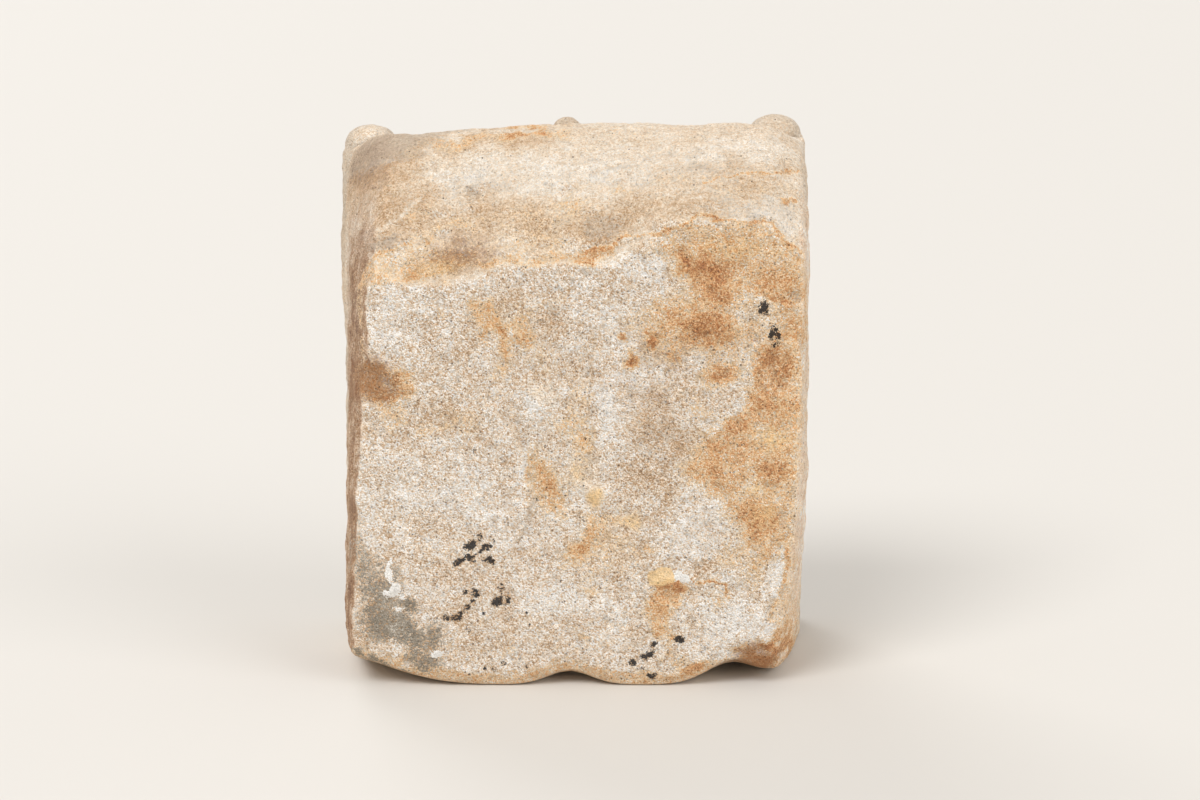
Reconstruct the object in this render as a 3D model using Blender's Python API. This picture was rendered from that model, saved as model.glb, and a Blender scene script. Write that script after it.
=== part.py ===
"""Stone niche: a lamp niche carved into the front of one rough block of banded sandstone.

Metres. X runs across the block, the carved front faces -Y, the split back faces +Y and Z is up.
The origin is at the middle of the underside. The block, with its plinth, is lofted from upright slices,
one for each station along X; shafts, arch band and finial are joined to it and the recess is cut out.
"""

import math

import bmesh
import bpy
from mathutils import Vector
from mathutils.geometry import delaunay_2d_cdt, normal

# Whole block: width, depth from the plinth's face to the split back, height to the tallest shaft's head
WIDTH = 0.247
DEPTH = 0.130
HEIGHT = 0.280

# Carved front
PANEL_SETBACK = 0.010
SHAFT_RADIUS = 0.014
SHAFT_REVEAL = 0.0012
SHAFT_WAIST = 0.0118
SHAFT_BASE_HEIGHT = 0.012
SHAFT_CAP_HEIGHT = 0.062
SHAFT_CAP_FLARE = 0.010
SHAFT_DOME_HEIGHT = 0.009
WORN_SHAFT_DROP = 0.0055
PLINTH_HEIGHT = 0.038
RECESS_WIDTH = 0.120
RECESS_DEPTH = 0.070
SILL_HEIGHT = 0.045
BAND_WIDTH = 0.012
BAND_PROUD = 0.005
BAND_TIP = 0.020
FINIAL_RADIUS = 0.0088
FINIAL_HEIGHT = 0.0445
FINIAL_DROP = 0.0015
FINIAL_DOME_HEIGHT = 0.0095
ARCH_OFFSET = 0.003
ARRIS_WEAR = 0.0018

# Rough back: the shoulder above the split face, the flanks beside it and the broken lower edge
RIDGE_DROP = 0.0018
RIDGE_SETBACK = 0.068
RIDGE_WEAR = 0.0045
RIDGE_END_DROP = 0.009
SHOULDER_START = 0.036
TOP_FALL = 0.009
FLANK_DEPTH = 0.100
FLANK_BULGE = 1.8
FLANK_BULGE_MINUS_X = 3.0
EDGE_HEIGHT = 0.0075
EDGE_UNDERCUT = 0.003
LIP_LIFT = 0.0005
LIP_SLOPE = 3.0
TOP_NARROWING = 0.0015
SIDE_HOLLOW = 0.0018

# Fineness of the loft and of the turned pieces
STATIONS = 52
SHAFT_SIDES = 22
FINIAL_SIDES = 16
ARCH_STEPS = 28
TIP_SPREAD = 0.45
OVERLAP = 0.002

FRONT = -DEPTH / 2.0
BACK = DEPTH / 2.0
PANEL = FRONT + PANEL_SETBACK
BLOCK_HALF = WIDTH / 2.0
RIDGE = HEIGHT - RIDGE_DROP
RECESS_RADIUS = RECESS_WIDTH / 2.0

# The finial hangs from the top, and the arch from the finial's foot, which sits astride its drawn-up tip
FINIAL_FOOT = HEIGHT - FINIAL_DROP - FINIAL_HEIGHT
FINIAL_SEAT = 0.6
SPRINGING = FINIAL_FOOT - FINIAL_SEAT * BAND_TIP - BAND_WIDTH - RECESS_RADIUS

# Edges of the split face as shares of the half width: how the +X one leans in and the -X one is chamfered
PLUS_EDGE = 0.899
PLUS_EDGE_LEAN = 0.201
MINUS_EDGE = 0.905
MINUS_EDGE_CHAMFER = 0.305
MINUS_CHAMFER_RISE = 0.115
RIDGE_WEAR_START = -0.33
END_ROUNDING_START = 0.80

# Steps of the crest between split face and shoulder, as shares of the half width and of the ridge height
CREST_BASE = 0.738
CREST_STEPS = (
    (0.90, 0.76, 0.014),
    (0.72, 0.60, -0.015),
    (0.45, 0.26, 0.032),
    (-0.14, -0.42, 0.081),
    (-0.76, -0.94, -0.054),
)

# Scoops broken out of the lower back edge: middle and half length as shares of the half width, rise as a
# share of the ridge height
SCOOPS = (
    (0.01, 0.125, 0.0306),
    (-0.67, 0.155, 0.0503),
    (1.00, 0.330, 0.0647),
)


def clear_scene():
    for thing in list(bpy.data.objects):
        bpy.data.objects.remove(thing, do_unlink=True)


def ramp(value, start, end):
    """0 before start and 1 past end, rising smoothly between; start may be the larger of the two."""
    share = min(max((value - start) / (end - start), 0.0), 1.0)
    return share * share * (3.0 - 2.0 * share)


def crest_height(x):
    """Height at which the split back face gives way to the sloping shoulder."""
    across = x / BLOCK_HALF
    share = CREST_BASE + sum(rise * ramp(across, start, end) for start, end, rise in CREST_STEPS)
    return RIDGE * share


def ridge_height(x):
    """Height of the top: highest toward -X, worn down toward +X and rounded off at both ends."""
    across = x / BLOCK_HALF
    toward_plus = max(across - RIDGE_WEAR_START, 0.0)
    rounded = RIDGE_END_DROP * ramp(abs(across), END_ROUNDING_START, 1.0)
    return RIDGE - RIDGE_WEAR * toward_plus**2 - rounded


def lip_height(x):
    """Height of the lowest line of the back above the ground, raised where a scoop is broken out."""
    across = x / BLOCK_HALF
    lift = sum(rise * math.exp(-(((across - middle) / half) ** 2)) for middle, half, rise in SCOOPS)
    return LIP_LIFT + RIDGE * lift


def face_edge(x, z):
    """Distance from the middle at which the split face turns into the flank, on the side of x."""
    up = z / RIDGE
    if x > 0.0:
        return BLOCK_HALF * (PLUS_EDGE - PLUS_EDGE_LEAN * up**2)
    return BLOCK_HALF * (MINUS_EDGE - MINUS_EDGE_CHAMFER * math.exp(-up / MINUS_CHAMFER_RISE))


def keep_depth(x, z):
    """Share of the block's depth that is left at x: 1 behind the split face, falling along the flank."""
    edge = face_edge(x, z)
    past = min(max((abs(x) - edge) / (BLOCK_HALF - edge), 0.0), 1.0)
    bulge = FLANK_BULGE if x > 0.0 else FLANK_BULGE_MINUS_X
    return 1.0 - FLANK_DEPTH / (BACK - PANEL) * past**bulge


def drawn_in(x, z):
    """Where x comes to lie once the block narrows toward its top and its +X side is hewn in below the cap."""
    across = x / BLOCK_HALF
    hollow = SIDE_HOLLOW * max(across, 0.0) ** 2 * ramp(z, 0.78 * RIDGE, 0.60 * RIDGE)
    return x - TOP_NARROWING * across * z / RIDGE - hollow


def centring():
    """Shift along X that puts the hewn block's box over the origin."""
    heights = [RIDGE * step / 50.0 for step in range(51)]
    reach = [[drawn_in(side, z) for z in heights] for side in (-BLOCK_HALF, BLOCK_HALF)]
    return -0.5 * (min(reach[0]) + max(reach[1]))


CENTRING = centring()


def hewn(x, y, z):
    """Place of a point of the hewn block, or of a shaft that is flush with it."""
    return (drawn_in(x, z) + CENTRING, y, z)


def slice_at(x):
    """Outline of the block in the YZ plane at x, from the front foot along the underside and up the back."""
    lip, crest, ridge = lip_height(x), crest_height(x), ridge_height(x)
    under = BACK - EDGE_UNDERCUT - LIP_SLOPE * lip
    face_foot = lip + EDGE_HEIGHT
    face = FRONT + ARRIS_WEAR * ramp(abs(x), 0.985 * BLOCK_HALF, BLOCK_HALF)
    points = [(face + ARRIS_WEAR, 0.0), (PANEL, 0.0)]
    points += [(PANEL + (under - PANEL) * step / 4.0, 0.0) for step in range(1, 5)]
    points.append((BACK - EDGE_UNDERCUT - 0.35 * LIP_SLOPE * lip, 0.55 * lip))
    points.append((BACK - EDGE_UNDERCUT, lip))
    points.append((BACK - 0.35 * EDGE_UNDERCUT, lip + 0.5 * EDGE_HEIGHT))
    for step in range(13):
        points.append((BACK, face_foot + (crest - face_foot) * step / 12.0))
    for step in range(1, 11):
        # Curve that leaves the crest along its first slope and ends level on the ridge
        t = step / 10.0
        y = BACK - 2.0 * t * (1.0 - t) * SHOULDER_START - t * t * RIDGE_SETBACK
        z = crest + (ridge - crest) * t * (2.0 - t)
        points.append((y, z))
    ridge_y, front_top = BACK - RIDGE_SETBACK, ridge - TOP_FALL
    for step in range(1, 5):
        t = step / 4.0
        points.append((ridge_y + (PANEL - ridge_y) * t, ridge - TOP_FALL * t**1.6))
    for step in range(1, 6):
        points.append((PANEL, front_top + (PLINTH_HEIGHT - front_top) * step / 5.0))
    points.append((face + ARRIS_WEAR, PLINTH_HEIGHT))
    points.append((face, PLINTH_HEIGHT - ARRIS_WEAR))
    points.append((face, ARRIS_WEAR))
    return [(y if y < PANEL else PANEL + (y - PANEL) * keep_depth(x, z), z) for y, z in points]


def stations():
    """Places of the slices along X, closer together toward the two ends."""
    for step in range(STATIONS + 1):
        u = 2.0 * step / STATIONS - 1.0
        yield BLOCK_HALF * (1.35 * u - 0.35 * u**3)


def new_object(name, bm, material):
    bmesh.ops.triangulate(bm, faces=bm.faces)
    bmesh.ops.recalc_face_normals(bm, faces=bm.faces)
    mesh = bpy.data.meshes.new(name)
    bm.to_mesh(mesh)
    bm.free()
    mesh.materials.append(material)
    thing = bpy.data.objects.new(name, mesh)
    bpy.context.scene.collection.objects.link(thing)
    return thing


def cap(bm, ring):
    """Fills a ring that may be hollow in outline and may have points in line, with no sliver triangles."""
    facing = normal([vert.co for vert in ring])
    across, up = [axis for axis in range(3) if axis != max(range(3), key=lambda axis: abs(facing[axis]))]
    flat = [Vector((vert.co[across], vert.co[up])) for vert in ring]
    filled = delaunay_2d_cdt(flat, [], [list(range(len(ring)))], 1, 1e-7)
    for corners in filled[2]:
        bm.faces.new([ring[corner] for corner in corners])


def join_rings(bm, rings):
    """Closes a run of equal rings of points into one skin with a cap at each end."""
    made = [[bm.verts.new(point) for point in ring] for ring in rings]
    for ring, other in zip(made, made[1:]):
        for place, vert in enumerate(ring):
            after = (place + 1) % len(ring)
            bm.faces.new((vert, ring[after], other[after], other[place]))
    cap(bm, made[0])
    cap(bm, made[-1])


def block(material):
    bm = bmesh.new()
    join_rings(bm, [[hewn(x, y, z) for y, z in slice_at(x)] for x in stations()])
    return new_object("stone_niche", bm, material)


def turned(name, profile, x, y, sides, material):
    """A turned piece from (radius, height) pairs listed upward, capped flat at both ends."""
    bm = bmesh.new()
    turns = [2.0 * math.pi * (side + 0.5) / sides for side in range(sides)]
    rings = [[hewn(x + r * math.cos(a), y + r * math.sin(a), z) for a in turns] for r, z in profile]
    join_rings(bm, rings)
    return new_object(name, bm, material)


def dome(radius, height, top, steps=5):
    """Points of a rounded top of that radius and height, ending in a small flat."""
    for step in range(steps + 1):
        angle = math.pi / 2.0 * step / (steps + 0.35)
        yield (radius * math.cos(angle), top - height + height * math.sin(angle))


def shaft(name, x, top, material):
    """An engaged corner shaft: roll base, plain waist, swelling capital and domed head."""
    foot = PLINTH_HEIGHT - OVERLAP
    waist_foot = PLINTH_HEIGHT + SHAFT_BASE_HEIGHT
    cap_foot = top - SHAFT_CAP_HEIGHT
    between = 0.5 * (SHAFT_RADIUS + SHAFT_WAIST)
    profile = [
        (SHAFT_RADIUS, foot),
        (SHAFT_RADIUS, waist_foot - 0.5 * SHAFT_BASE_HEIGHT),
        (between, waist_foot - 0.25 * SHAFT_BASE_HEIGHT),
        (SHAFT_WAIST, waist_foot),
        (SHAFT_WAIST, 0.5 * (waist_foot + cap_foot)),
        (SHAFT_WAIST, cap_foot - SHAFT_CAP_FLARE),
        (between, cap_foot - 0.4 * SHAFT_CAP_FLARE),
        (SHAFT_RADIUS, cap_foot),
        (SHAFT_RADIUS, 0.5 * (cap_foot + top - SHAFT_DOME_HEIGHT)),
    ]
    profile += list(dome(SHAFT_RADIUS, SHAFT_DOME_HEIGHT, top))
    return turned(name, profile, x, FRONT + SHAFT_REVEAL + SHAFT_RADIUS, SHAFT_SIDES, material)


def finial(material):
    """The finial on the tip of the arch band: a spreading foot, a neck and a bud that clears the top."""
    shares = ((0.95, 0.0), (0.90, 0.08), (0.60, 0.18), (0.60, 0.28), (0.88, 0.42), (1.0, 0.58))
    profile = [(wide * FINIAL_RADIUS, FINIAL_FOOT + up * FINIAL_HEIGHT) for wide, up in shares]
    profile += list(dome(FINIAL_RADIUS, FINIAL_DOME_HEIGHT, FINIAL_FOOT + FINIAL_HEIGHT))
    return turned("finial_form", profile, ARCH_OFFSET, PANEL, FINIAL_SIDES, material)


def arch_outline(half_width, foot, springing, tip):
    """A round arch seen from the front, from one foot to the other, drawn up to an ogee point by tip."""
    points = [(half_width, foot), (half_width, 0.5 * (foot + springing))]
    for step in range(ARCH_STEPS + 1):
        angle = math.pi * step / ARCH_STEPS
        drawn_up = tip * max(1.0 - abs(math.cos(angle)) / TIP_SPREAD, 0.0) ** 2
        height = springing + half_width * math.sin(angle) + drawn_up
        points.append((half_width * math.cos(angle), height))
    points += [(-half_width, 0.5 * (foot + springing)), (-half_width, foot)]
    return points


def arch(name, half_width, foot, tip, front, back, material):
    """A solid of the arch outline that runs from front to back, with upright jambs."""
    bm = bmesh.new()
    outline = arch_outline(half_width, foot, SPRINGING, tip)
    middle = ARCH_OFFSET + CENTRING
    join_rings(bm, [[(middle + x, y, z) for x, z in outline] for y in (front, back)])
    return new_object(name, bm, material)


def sandstone():
    material = bpy.data.materials.new("sandstone")
    material.use_nodes = True
    shader = material.node_tree.nodes["Principled BSDF"]
    shader.inputs["Base Color"].default_value = (0.69, 0.58, 0.47, 1.0)
    shader.inputs["Roughness"].default_value = 0.9
    shader.inputs["Metallic"].default_value = 0.0
    material.diffuse_color = (0.69, 0.58, 0.47, 1.0)
    return material


def combine(target, tool, operation):
    """Joins tool to target or cuts it away, and keeps the tool out of sight."""
    modifier = target.modifiers.new(tool.name, "BOOLEAN")
    modifier.object = tool
    modifier.operation = operation
    modifier.solver = "EXACT"
    tool.hide_render = True
    tool.display_type = "WIRE"


def main():
    clear_scene()
    stone = sandstone()
    niche = block(stone)
    shaft_x = BLOCK_HALF - SHAFT_REVEAL - SHAFT_RADIUS
    band = arch(
        "arch_band_form",
        RECESS_RADIUS + BAND_WIDTH,
        PLINTH_HEIGHT - OVERLAP,
        BAND_TIP,
        PANEL - BAND_PROUD,
        PANEL + OVERLAP,
        stone,
    )
    recess = arch(
        "recess_cutter",
        RECESS_RADIUS,
        SILL_HEIGHT,
        0.0,
        FRONT - OVERLAP,
        PANEL + RECESS_DEPTH,
        stone,
    )
    combine(niche, shaft("tall_shaft_form", -shaft_x, HEIGHT, stone), "UNION")
    combine(niche, shaft("worn_shaft_form", shaft_x, HEIGHT - WORN_SHAFT_DROP, stone), "UNION")
    combine(niche, band, "UNION")
    combine(niche, finial(stone), "UNION")
    combine(niche, recess, "DIFFERENCE")


main()
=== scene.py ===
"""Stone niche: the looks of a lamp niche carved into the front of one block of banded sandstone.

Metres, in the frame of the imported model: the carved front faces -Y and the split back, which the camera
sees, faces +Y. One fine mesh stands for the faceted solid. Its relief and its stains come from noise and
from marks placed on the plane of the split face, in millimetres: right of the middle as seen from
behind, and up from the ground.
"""

import itertools
import math

import bpy
import numpy as np
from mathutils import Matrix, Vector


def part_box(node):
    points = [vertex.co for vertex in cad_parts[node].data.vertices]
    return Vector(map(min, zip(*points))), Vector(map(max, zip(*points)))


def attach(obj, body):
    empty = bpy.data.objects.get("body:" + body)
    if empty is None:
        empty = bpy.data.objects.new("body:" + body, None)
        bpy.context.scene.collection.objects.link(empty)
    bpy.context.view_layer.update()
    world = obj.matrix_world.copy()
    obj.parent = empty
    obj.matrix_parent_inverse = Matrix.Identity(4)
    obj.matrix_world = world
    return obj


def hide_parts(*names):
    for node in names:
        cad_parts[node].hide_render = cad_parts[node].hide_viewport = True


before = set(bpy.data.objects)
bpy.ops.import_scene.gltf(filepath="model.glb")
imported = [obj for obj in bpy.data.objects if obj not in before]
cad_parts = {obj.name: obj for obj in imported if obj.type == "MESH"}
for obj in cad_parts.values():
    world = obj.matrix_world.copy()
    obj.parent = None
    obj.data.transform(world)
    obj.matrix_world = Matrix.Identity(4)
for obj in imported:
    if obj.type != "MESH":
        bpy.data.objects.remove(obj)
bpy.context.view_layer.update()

_, BLOCK_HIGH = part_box("stone_niche")
BACK = BLOCK_HIGH[1]
MM = 0.001

# Where the camera stands, how far it looks down in degrees, and its lens and sensor in millimetres
EYE = (-0.01375, 1.227, 0.3738)
LOOK_DOWN = 11.0
LENS = 72.0
SENSOR = 36.0
CLIP_START = 0.05

# Fineness of the mesh, and how it is smoothed before its relief
VOXEL = 0.00125
TRIANGLES = 190000
SMOOTHING = 0.5
SMOOTHING_ROUNDS = 5

# Where the mesh keeps its triangles: the slope and the depth that the camera sees, in levels
KEPT_SLOPE = (0.1, 0.4)
KEPT_DEPTH = (-0.02, 0.0)
KEPT_TOP = 0.5
KEPT_LEVELS = 5
KEPT_MOST = 0.9
TINY = 1e-9

# The carved front, as the solid has it
PANEL = -0.055
ARCH_MIDDLE = 0.0036
RECESS_RADIUS = 0.060
RECESS_BACK = 0.015
SILL = 0.045
SPRINGING = 0.150
RECESS_EDGE = (0.0015, 0.0035)

# Keys that scatter the cells of a noise, its turn in radians about Z and X, and how its finer parts fade
CELL_KEYS = (73856093, 19349663, 83492791)
SEED_KEY = 2654435761
STIR_KEY = 73244475
WHOLE_KEY = 0xFFFFFFFF
DRAWN_KEY = 0xFFFFFF
NOISE_TURN = (0.65, 1.10)
OCTAVE_FADE = 1.8

# Beds of the stone: how they curve down past a place at +X, their tilt across the block, and their waves
BED_SAG = 1.1
BED_SAG_START = 0.02
BED_TILT = 0.03
BED_WAVE = 0.0020
BED_WAVE_SIZE = 0.06
BED_WAVE_STRETCH = (1.0, 3.0, 1.0)
BED_RIPPLE = 0.0008
BED_RIPPLE_SIZE = 0.016

# How a mark fades: shares of the size of a hollow, the full share of a trail, millimetres across a step
FORM_EDGE = (0.5, 1.4)
TRAIL_FULL = 0.35
STEP_SOFT = 0.6


def ramp(values, start, end):
    """0 before start and 1 past end, rising smoothly between; start may be the larger of the two."""
    share = np.clip((values - start) / (end - start), 0.0, 1.0)
    return share * share * (3.0 - 2.0 * share)


def turn_matrix(about_z, about_x):
    """A turn that keeps noise from lining up with the axes."""
    cos_z, sin_z = math.cos(about_z), math.sin(about_z)
    cos_x, sin_x = math.cos(about_x), math.sin(about_x)
    turn_z = np.array([[cos_z, -sin_z, 0], [sin_z, cos_z, 0], [0, 0, 1]])
    turn_x = np.array([[1, 0, 0], [0, cos_x, -sin_x], [0, sin_x, cos_x]])
    return turn_z @ turn_x


OBLIQUE = turn_matrix(*NOISE_TURN)


def scatter(cells, seed):
    """One number from 0 to 1 for each whole-number cell, always the same for the same seed."""
    along, across, up = (cells[:, axis] * CELL_KEYS[axis] for axis in range(3))
    key = (along ^ across ^ up ^ (seed * SEED_KEY)) & WHOLE_KEY
    for _ in range(2):
        key = ((key ^ (key >> 16)) * STIR_KEY) & WHOLE_KEY
    return ((key ^ (key >> 16)) & DRAWN_KEY) / float(DRAWN_KEY)


def noise(points, size, seed, stretch=(1.0, 1.0, 1.0)):
    """Smooth noise between -1 and 1 with lumps of about that size, longer where stretch is over 1."""
    places = (points / (size * np.array(stretch))) @ OBLIQUE
    base = np.floor(places).astype(np.int64)
    part = places - base
    blend = part**3 * (part * (part * 6.0 - 15.0) + 10.0)
    total = np.zeros(len(points))
    for corner in itertools.product((0, 1), repeat=3):
        weight = np.prod(np.where(np.array(corner) == 1, blend, 1.0 - blend), axis=1)
        total += weight * scatter(base + np.array(corner), seed)
    return 2.0 * total - 1.0


def rough(points, size, seed, octaves):
    """Noise with finer and weaker noise on top of it; each octave takes the next seed."""
    return sum(noise(points, size / 2.0**step, seed + step) / OCTAVE_FADE**step for step in range(octaves))


def on_face(points):
    """Where each point of the back shows on the plane of the split face: (right, up) in millimetres."""
    share = (EYE[1] - BACK) / (EYE[1] - points[:, 1])
    right = -(EYE[0] + (points[:, 0] - EYE[0]) * share)
    up = EYE[2] + (points[:, 2] - EYE[2]) * share
    return np.stack([right, up], axis=1) / MM


def bed_depth(points):
    """Depth of each point below the split face, measured through the beds, which curve down at +X."""
    right = -points[:, 0]
    sag = BED_SAG * np.maximum(-right - BED_SAG_START, 0.0) ** 2
    wave = BED_WAVE * noise(points, BED_WAVE_SIZE, 11, BED_WAVE_STRETCH)
    wave = wave + BED_RIPPLE * noise(points, BED_RIPPLE_SIZE, 12)
    return BACK - points[:, 1] + sag - BED_TILT * right + wave


def spot(seen, right, up, wide, high, turn=0.0, edge=FORM_EDGE):
    """1 in an ellipse of those half sizes, falling to 0 between those two shares of its size."""
    angle = math.radians(turn)
    off = seen - np.array([right, up])
    along = off[:, 0] * math.cos(angle) + off[:, 1] * math.sin(angle)
    across = off[:, 1] * math.cos(angle) - off[:, 0] * math.sin(angle)
    return 1.0 - ramp(np.hypot(along / wide, across / high), *edge)


def reach(seen, line):
    """Distance in millimetres to a line through the points, and which side: positive to its left."""
    nearest = np.full(len(seen), np.inf)
    side = np.zeros(len(seen))
    for start, end in zip(line, line[1:]):
        start, way = np.array(start, float), np.array(end, float) - np.array(start, float)
        off = seen - start
        share = np.clip(off @ way / (way @ way), 0.0, 1.0)
        away = np.hypot(*(off - share[:, None] * way).T)
        closer = away < nearest
        nearest = np.where(closer, away, nearest)
        side = np.where(closer, np.sign(way[0] * off[:, 1] - way[1] * off[:, 0]), side)
    return nearest, side


def trail(seen, line, wide):
    """1 on a line through the points, falling to 0 at that distance beside it."""
    return 1.0 - ramp(reach(seen, line)[0], TRAIL_FULL * wide, wide)


def area(seen, outline, soft):
    """1 inside a closed outline, falling to 0 across its edge."""
    closed = outline + outline[:1]
    inside = np.zeros(len(seen), bool)
    for (right, up), (next_right, next_up) in zip(closed, closed[1:]):
        if up != next_up:
            level = (up > seen[:, 1]) != (next_up > seen[:, 1])
            inside ^= level & (seen[:, 0] < right + (seen[:, 1] - up) * (next_right - right) / (next_up - up))
    away, _ = reach(seen, closed)
    return ramp(np.where(inside, away, -away), -soft, soft)


def ledge(seen, line, fade, soft=STEP_SOFT):
    """A step along a line: high to its left, level with the rest to its right and once it has faded."""
    away, side = reach(seen, line)
    return ramp(side * away, -soft, soft) * np.exp(-away / fade)


# Line of the crest from left to right, between the split face and the shoulder
CREST = [
    (-109, 204), (-98, 207), (-92, 210), (-86, 208), (-76, 205), (-64, 207), (-54, 210), (-44, 215),
    (-30, 217), (-8, 217), (8, 217), (20, 219), (26, 223), (33, 227), (42, 232), (55, 236), (74, 238),
    (84, 235), (96, 235), (101, 230), (111, 223), (116, 214),
]

# The crest's own step and the groove beside it, in millimetres, the groove's depth as a share of the step
CREST_STEP = 0.9
CREST_FADE = 9.0
CREST_SOFT = 0.9
CREST_GROOVE = 0.35
CREST_GROOVE_REACH = 4.0

# Steps in the split face: line walked with the high side on the left, height in millimetres, fade
LEDGES = (
    ([(-33, 137), (-29, 130), (-25, 123), (-22, 111), (-21, 97), (-24, 86)][::-1], 1.9, 16.0),
    ([(60, 57), (71, 58), (78, 53), (83, 46)][::-1], 0.5, 9.0),
    ([(98, 76), (98, 62), (101, 50), (96, 36)][::-1], 0.8, 12.0),
    ([(58, 220), (64, 212), (72, 200), (86, 190)], 0.5, 14.0),
    ([(-108, 195), (-107, 178), (-100, 166), (-92, 158)], 0.7, 12.0),
    ([(100, 190), (96, 172), (90, 160), (84, 148)][::-1], 0.7, 14.0),
)

# Hollows and raised places: right, up, half width, half height, turn in degrees, lift, all in millimetres
FORMS = (
    ("pit in the shoulder", -48, 250, 2.6, 2.4, 0, -1.6),
    ("right dent", 103, 163, 8, 12, 20, -2.8),
    ("left dent", -98, 161, 7, 9, 0, -2.0),
    ("left hollow", -88, 140, 16, 16, 40, -0.8),
    ("hollow under the crest", -70, 214, 22, 7, 8, -1.0),
    ("yellow chip", 46, 56, 7, 3.8, 4, 1.3),
    ("pale end of the chip", 59, 58, 5, 3.2, -6, 1.2),
    ("hollow under the chip", 50, 49, 11, 3.5, 5, -0.9),
    ("lime", -91, 54, 2.6, 7.0, -16, 1.1),
    ("small lime", -68, 19, 3.2, 2.2, 10, 1.0),
    ("white knob", -15, 148, 5.5, 5.5, 0, 0.6),
    ("yellow knob", 16, 101, 4, 5, 0, 0.7),
    ("foot hollow", 90, 18, 12, 5, 10, -1.2),
)

# Rough surface: size of the lumps in metres, seed, height in millimetres, and how much carving takes away
LUMPS = ((0.055, 21, 0.9), (0.021, 22, 0.75), (0.009, 23, 0.6))
CARVING_SMOOTHS = 0.80
GRIT_SIZE = 0.0042
GRIT_HEIGHT = 0.42
GRIT_LEAST = 0.5

# Ribs of the beds: thickness in metres, seed, length in thicknesses, share of the height in millimetres
RIBS = ((0.0034, 31, 14.0, 1.0), (0.0075, 32, 9.0, 0.6))
RIB_HEIGHT = 0.34

# Lost crumbs: size in metres, level of the noise that they start at, millimetres of depth above that level
CRUMB_SIZE = 0.0065
CRUMB_LEVEL = 0.42
CRUMB_DEPTH = 1.5

# Depths of the hewn and the smooth part, and heights and slopes over which the flat underside stays flat
SMOOTH_FRONT = (-0.036, -0.046)
SEATED_HEIGHT = (0.0002, 0.004)
SEATED_SLOPE = (0.6, 0.9)

# Slope over which the marks of the back fade, and how far they wander: size in metres, millimetres
BACK_SLOPE = (0.05, 0.3)
FORM_WANDER_SIZE = 0.009
FORM_WANDER = 1.8


def in_recess(points):
    """1 on the walls of the arched recess, 0 elsewhere."""
    off = np.abs(points[:, 0] - ARCH_MIDDLE)
    above = np.maximum(points[:, 2] - SPRINGING, 0.0)
    outside = np.maximum(np.hypot(off, above) - RECESS_RADIUS, SILL - points[:, 2])
    outside = np.maximum(outside, points[:, 1] - RECESS_BACK)
    return 1.0 - ramp(outside, *RECESS_EDGE)


def surface(points, normals):
    """Height in millimetres of the rough surface and of the ribs where it cuts across the beds."""
    carved = np.maximum(in_recess(points), ramp(points[:, 1], *SMOOTH_FRONT))
    hewn = 1.0 - CARVING_SMOOTHS * carved
    lift = sum(height * noise(points, size, seed) for size, seed, height in LUMPS)
    grit = GRIT_HEIGHT * rough(points, GRIT_SIZE, 24, 2)
    lift = lift * hewn + grit * (GRIT_LEAST + (1.0 - GRIT_LEAST) * hewn)
    beds = np.stack([points[:, 0], bed_depth(points), points[:, 2]], axis=1)
    cut_across = 1.0 - np.abs(normals[:, 1])
    ribs = sum(share * noise(beds, size, seed, (length, 1.0, length)) for size, seed, length, share in RIBS)
    lift += RIB_HEIGHT * ribs * cut_across * hewn
    crumbs = np.clip(noise(points, CRUMB_SIZE, 51) - CRUMB_LEVEL, 0.0, 1.0)
    return lift, CRUMB_DEPTH * crumbs * hewn


def relief(points, normals, seen):
    """How far each point moves out along its normal."""
    lift, lost = surface(points, normals)
    shown = ramp(normals[:, 1], *BACK_SLOPE)
    wander = [noise(points, FORM_WANDER_SIZE, seed) for seed in (41, 42)]
    marks = seen + np.stack(wander, axis=1) * FORM_WANDER
    for line, height, fade in LEDGES:
        lift += shown * height * ledge(marks, line, fade)
    crest = ledge(marks, CREST[::-1], CREST_FADE, CREST_SOFT)
    lift += shown * CREST_STEP * (crest - CREST_GROOVE * trail(marks, CREST, CREST_GROOVE_REACH))
    for _, right, up, wide, high, turn, height in FORMS:
        lift += shown * height * spot(marks, right, up, wide, high, turn)
    lift -= lost
    seated = ramp(points[:, 2], *SEATED_HEIGHT) * (1.0 - ramp(-normals[:, 2], *SEATED_SLOPE))
    return lift * seated * MM


def applied(piece):
    """Gives the piece the mesh that its modifiers make, and takes them off."""
    made = bpy.data.meshes.new_from_object(piece.evaluated_get(bpy.context.evaluated_depsgraph_get()))
    piece.modifiers.clear()
    piece.data = made
    return made


def read_points(mesh):
    """The mesh's points and their normals, as rows of three."""
    points = np.empty(3 * len(mesh.vertices))
    normals = np.empty(3 * len(mesh.vertices))
    mesh.vertices.foreach_get("co", points)
    mesh.vertex_normals.foreach_get("vector", normals)
    return points.reshape(-1, 3), normals.reshape(-1, 3)


def mark_plainer(piece, points, normals):
    """A group of the points that may lose triangles, most of all those that the camera does not see."""
    slope = normals[:, 1] + KEPT_TOP * normals[:, 2]
    shown = ramp(slope, *KEPT_SLOPE) * ramp(points[:, 1], *KEPT_DEPTH)
    plainer = piece.vertex_groups.new(name="plainer")
    order = np.argsort(shown)
    for level in range(KEPT_LEVELS):
        above = shown[order] >= level / KEPT_LEVELS
        below = shown[order] < (level + 1) / KEPT_LEVELS + TINY
        weight = 1.0 - KEPT_MOST * level / (KEPT_LEVELS - 1)
        plainer.add([int(place) for place in order[above & below]], weight, "REPLACE")
    return plainer


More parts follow.
